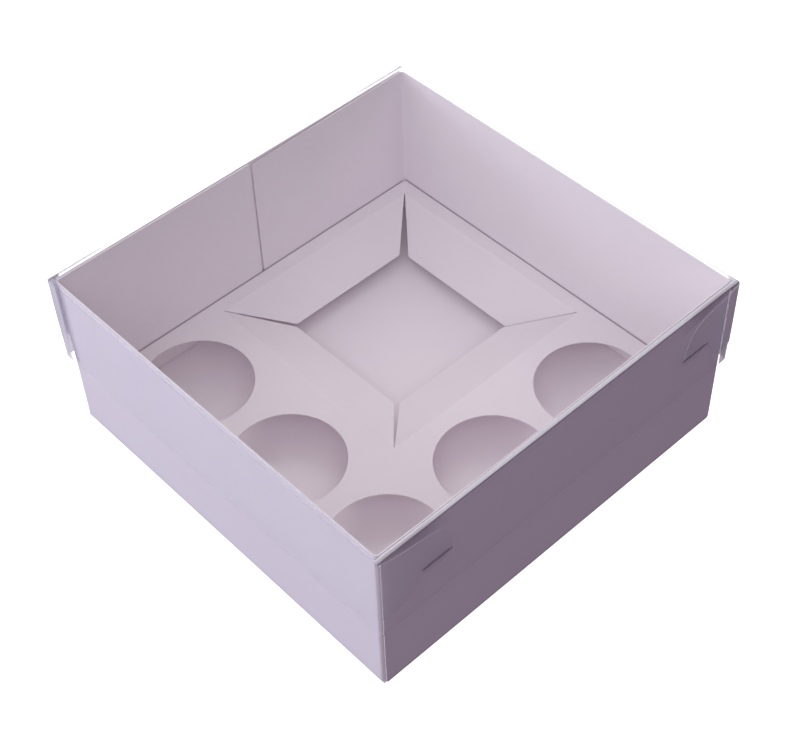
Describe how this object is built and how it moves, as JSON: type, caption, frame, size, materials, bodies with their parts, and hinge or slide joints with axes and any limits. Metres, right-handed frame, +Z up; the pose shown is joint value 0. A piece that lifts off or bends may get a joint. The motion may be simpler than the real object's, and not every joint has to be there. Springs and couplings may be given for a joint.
{
  "type": "cupcake box",
  "caption": "Square white card tray with a die-cut insert for one small cake and cupcakes, closed by a clear film lid with corner tongue locks.",
  "frame": {"origin": "middle of the tray's underside, on the table", "axes": "+Z up, the way the lid lifts off; -Y faces out of the front wall, beside which a row of cupcake holes lies; +X faces out of the right wall, beside which the other row lies; the cake opening is in the -X +Y corner"},
  "size_m": [0.256, 0.255, 0.1076],
  "materials": {
    "tray_card": "satin white card",
    "insert_card": "matt white card",
    "clear_film": "clear gloss film"
  },
  "bodies": {
    "box_body": {"tray": "tray_card", "insert": "insert_card"},
    "lid_body": {"lid": "clear_film"}
  },
  "joints": [
    {"name": "lid_lift", "type": "slide", "parent": "box_body", "child": "lid_body", "axis": [0, 0, 1], "range_m": [0, 0.08]}
  ]
}
